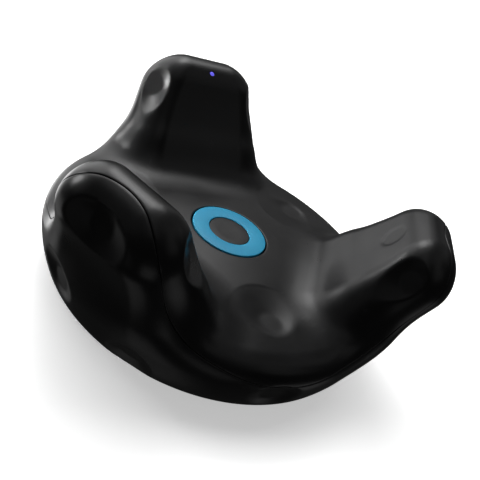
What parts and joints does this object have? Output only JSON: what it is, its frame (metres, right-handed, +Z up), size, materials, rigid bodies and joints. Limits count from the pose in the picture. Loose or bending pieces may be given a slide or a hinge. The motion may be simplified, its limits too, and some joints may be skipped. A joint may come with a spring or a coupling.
{
  "type": "motion tracker",
  "caption": "Round pronged motion tracker with a press-down power button, light-sensor dishes, and a base with a tripod thread, pin hole and contact pads.",
  "frame": {"origin": "centre of the base: the mouth of the tripod thread, level with the surface the tracker rests on", "axes": "+Z up through the power button; +X towards prong A, with the stabilising pin hole on -X; the USB port faces 60 degrees from +X towards +Y"},
  "size_m": [0.0917, 0.0948, 0.0423],
  "materials": {
    "shell": "fine satin grain",
    "button": "satin",
    "button_ring": "translucent satin",
    "natural_plastic": "natural acetal",
    "switch_red": "moulded",
    "dark_plastic": "moulded",
    "circuit_board": "solder mask",
    "chip": "moulded epoxy",
    "steel": "zinc plated",
    "gold": "gold flash",
    "pale_plastic": "nylon",
    "cell_foil": "laminate pouch",
    "foam_tape": "foam",
    "lead_cover": "PVC",
    "frame_plastic": "moulded",
    "flex_film": "polyimide film",
    "sensor": "clear epoxy over silicon",
    "led": "ceramic",
    "clear_plastic": "polished",
    "base_plastic": "fine grain",
    "pad_rubber": "silicone",
    "insert_metal": "turned"
  },
  "bodies": {
    "housing": {"upper_shell": "shell", "lower_shell": "shell", "button_flexure": "natural_plastic", "switch_body": "dark_plastic", "main_board": "circuit_board", "processor": "chip", "sensor_chips": "chip", "radio_shield": "steel", "radio_chip": "chip", "antenna": "gold", "flex_connectors": "pale_plastic", "battery": "cell_foil", "battery_tape": "foam_tape", "battery_leads": "lead_cover", "battery_plug": "pale_plastic", "inner_carrier": "frame_plastic", "prong_frame_a": "frame_plastic", "prong_frame_b": "frame_plastic", "prong_frame_c": "frame_plastic", "sensor_flex_a": "flex_film", "sensor_flex_b": "flex_film", "sensor_flex_c": "flex_film", "prong_sensors_a": "sensor", "prong_sensors_b": "sensor", "prong_sensors_c": "sensor", "valley_sensors": "sensor", "led_chip": "led", "light_pipe": "clear_plastic", "usb_receptacle": "steel", "usb_tongue": "dark_plastic", "usb_board": "circuit_board", "usb_flex": "flex_film", "base_plate": "base_plastic", "base_pad": "pad_rubber", "tripod_insert": "insert_metal", "pin_bush": "insert_metal", "pogo_block": "dark_plastic", "pogo_pads": "gold", "housing_screws": "steel", "board_screws": "steel", "plate_screws": "steel"},
    "button": {"button_cap": "button", "button_ring": "button_ring"},
    "plunger": {"switch_plunger": "switch_red"}
  },
  "joints": [
    {"name": "button_press", "type": "slide", "parent": "housing", "child": "button", "axis": [0, 0, -1], "range_m": [0, 0.0006], "stiffness_N_per_m": 1500, "springref_m": -0.0005, "deforming": ["button_flexure"]},
    {"name": "switch_press", "type": "slide", "parent": "housing", "child": "plunger", "axis": [0, 0, -1], "range_m": [0, 0.0006]}
  ],
  "couplings": [
    {"joint": "switch_press", "follows": "button_press", "ratio": 1}
  ]
}
